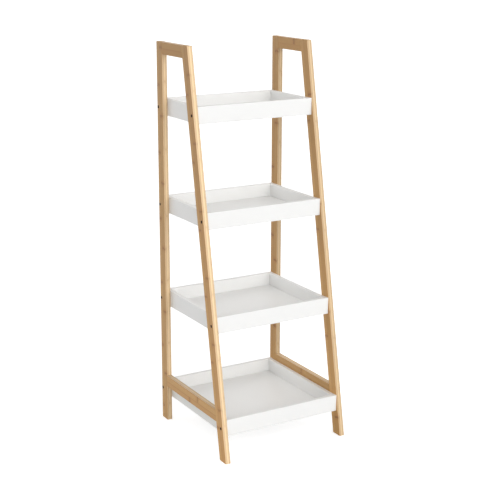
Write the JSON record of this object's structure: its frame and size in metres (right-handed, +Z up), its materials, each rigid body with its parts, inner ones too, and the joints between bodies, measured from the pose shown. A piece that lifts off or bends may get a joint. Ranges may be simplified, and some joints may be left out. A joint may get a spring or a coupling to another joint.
{
  "type": "ladder shelf",
  "caption": "Free-standing ladder shelf: two A-shaped bamboo side frames with upright rear legs and leaning front legs carry white open trays that grow deeper towards the floor.",
  "frame": {"origin": "on the floor, under the middle of the whole shelf's box", "axes": "+X across the shelf to its right, -Y to its front, +Z up"},
  "size_m": [0.38, 0.375, 1.08],
  "materials": {
    "bamboo": "satin clear lacquer over laminated bamboo",
    "white_lacquer": "satin white paint over fibreboard",
    "screw_steel": "black oxide",
    "dowel_wood": "raw beech"
  },
  "bodies": {
    "root": {"left_rear_leg": "bamboo", "left_front_leg": "bamboo", "left_top_rail": "bamboo", "left_bottom_rail": "bamboo", "right_rear_leg": "bamboo", "right_front_leg": "bamboo", "right_top_rail": "bamboo", "right_bottom_rail": "bamboo", "tray_1_floor": "white_lacquer", "tray_1_front": "white_lacquer", "tray_1_back": "white_lacquer", "tray_1_left": "white_lacquer", "tray_1_right": "white_lacquer", "tray_2_floor": "white_lacquer", "tray_2_front": "white_lacquer", "tray_2_back": "white_lacquer", "tray_2_left": "white_lacquer", "tray_2_right": "white_lacquer", "tray_3_floor": "white_lacquer", "tray_3_front": "white_lacquer", "tray_3_back": "white_lacquer", "tray_3_left": "white_lacquer", "tray_3_right": "white_lacquer", "tray_4_floor": "white_lacquer", "tray_4_front": "white_lacquer", "tray_4_back": "white_lacquer", "tray_4_left": "white_lacquer", "tray_4_right": "white_lacquer", "left_screws": "screw_steel", "right_screws": "screw_steel", "left_frame_dowels": "dowel_wood", "right_frame_dowels": "dowel_wood", "tray_1_dowels": "dowel_wood", "tray_2_dowels": "dowel_wood", "tray_3_dowels": "dowel_wood", "tray_4_dowels": "dowel_wood"}
  },
  "joints": []
}
